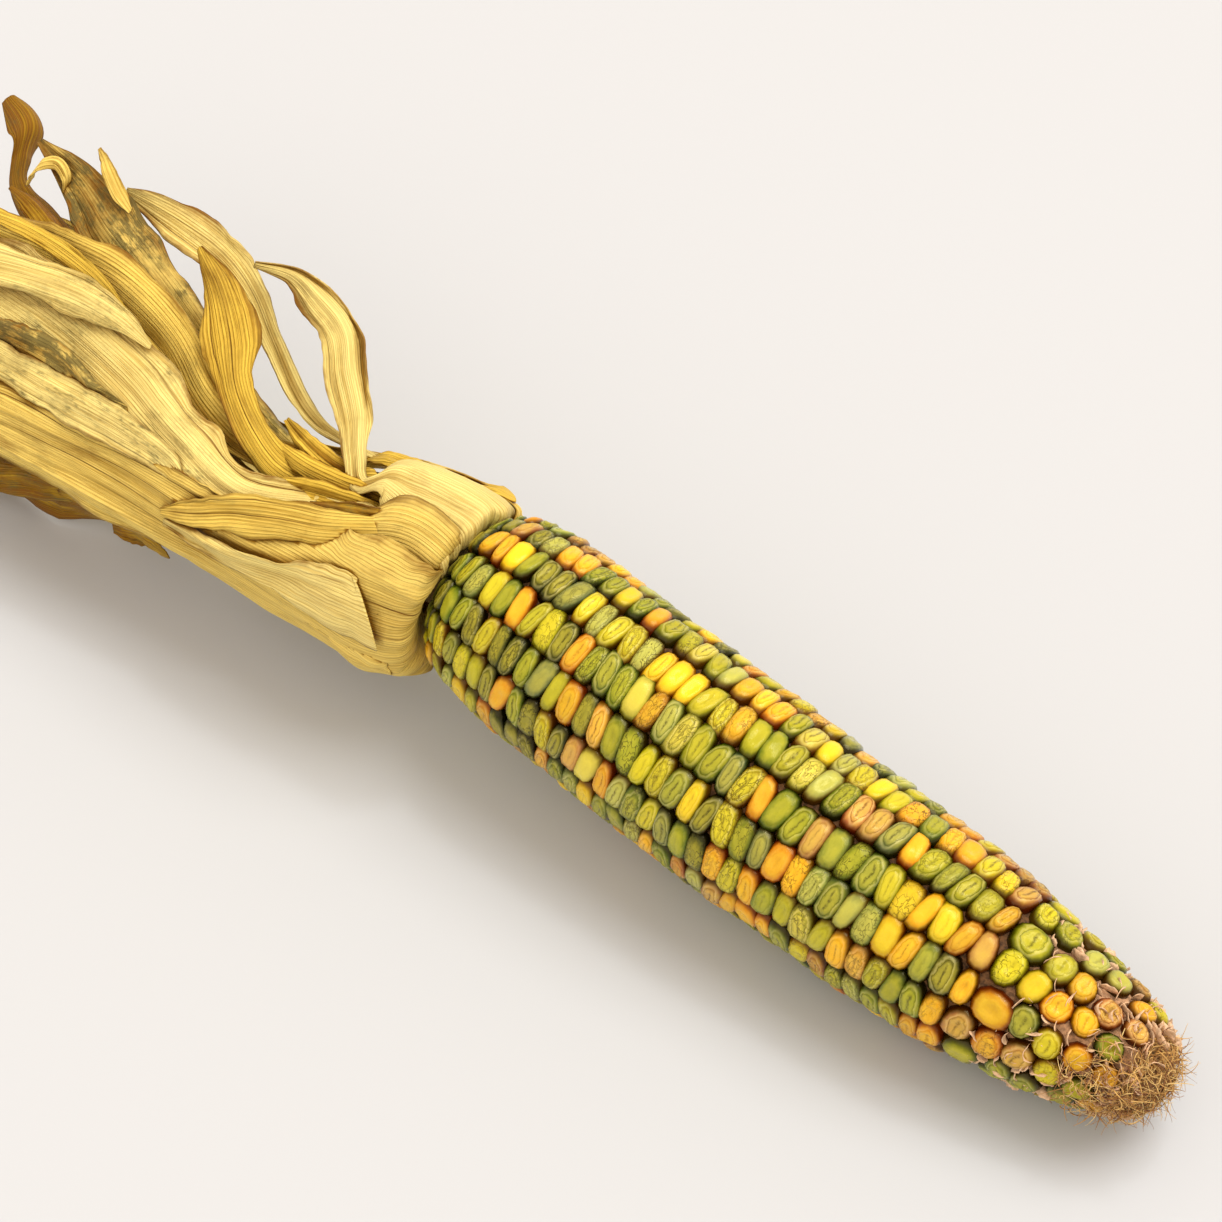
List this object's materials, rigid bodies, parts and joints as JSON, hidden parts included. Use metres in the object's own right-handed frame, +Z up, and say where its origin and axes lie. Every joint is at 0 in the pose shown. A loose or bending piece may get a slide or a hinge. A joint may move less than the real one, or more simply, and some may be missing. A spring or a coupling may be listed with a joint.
{
  "type": "dried corn cob",
  "caption": "Dried ear of painted dent corn lying on its side, with many-coloured kernels in long rows, a silk tuft at the tip and papery husk leaves pulled back from the butt.",
  "frame": {"origin": "middle of the small flat spot under the ear that it rests on", "axes": "+Z up from the surface it lies on, +X along the ear towards its tip"},
  "size_m": [0.4003, 0.0759, 0.0731],
  "materials": {
    "kernels": "glossy dried kernels in olive, yellow, orange and dark green",
    "shank": "dull straw brown stem",
    "silk": "dry brown silk",
    "husk_leaf": "dry cream-yellow leaf with fine lengthwise veins",
    "husk_golden": "dry golden leaf with fine lengthwise veins",
    "husk_brown": "dry brown-ochre leaf with fine lengthwise veins",
    "husk_spotted": "dry cream leaf with grey-green mildew spots"
  },
  "bodies": {
    "root": {"ear": "kernels", "shank": "shank", "silk_tuft": "silk", "husk_leaf_collar_front": "husk_leaf", "husk_leaf_collar_top": "husk_leaf", "husk_leaf_prop_back": "husk_leaf", "husk_leaf_wide_pale": "husk_leaf", "husk_leaf_ribbon": "husk_leaf", "husk_leaf_back_low": "husk_leaf", "husk_leaf_brown_under": "husk_brown", "husk_leaf_long_pale": "husk_leaf", "husk_leaf_golden": "husk_golden", "husk_leaf_yellow_long": "husk_leaf", "husk_leaf_grey_spotted": "husk_spotted", "husk_leaf_curled_tip": "husk_brown", "husk_leaf_inner_shaded": "husk_spotted", "husk_leaf_low_pale": "husk_leaf", "husk_leaf_back_high": "husk_leaf"}
  },
  "joints": []
}
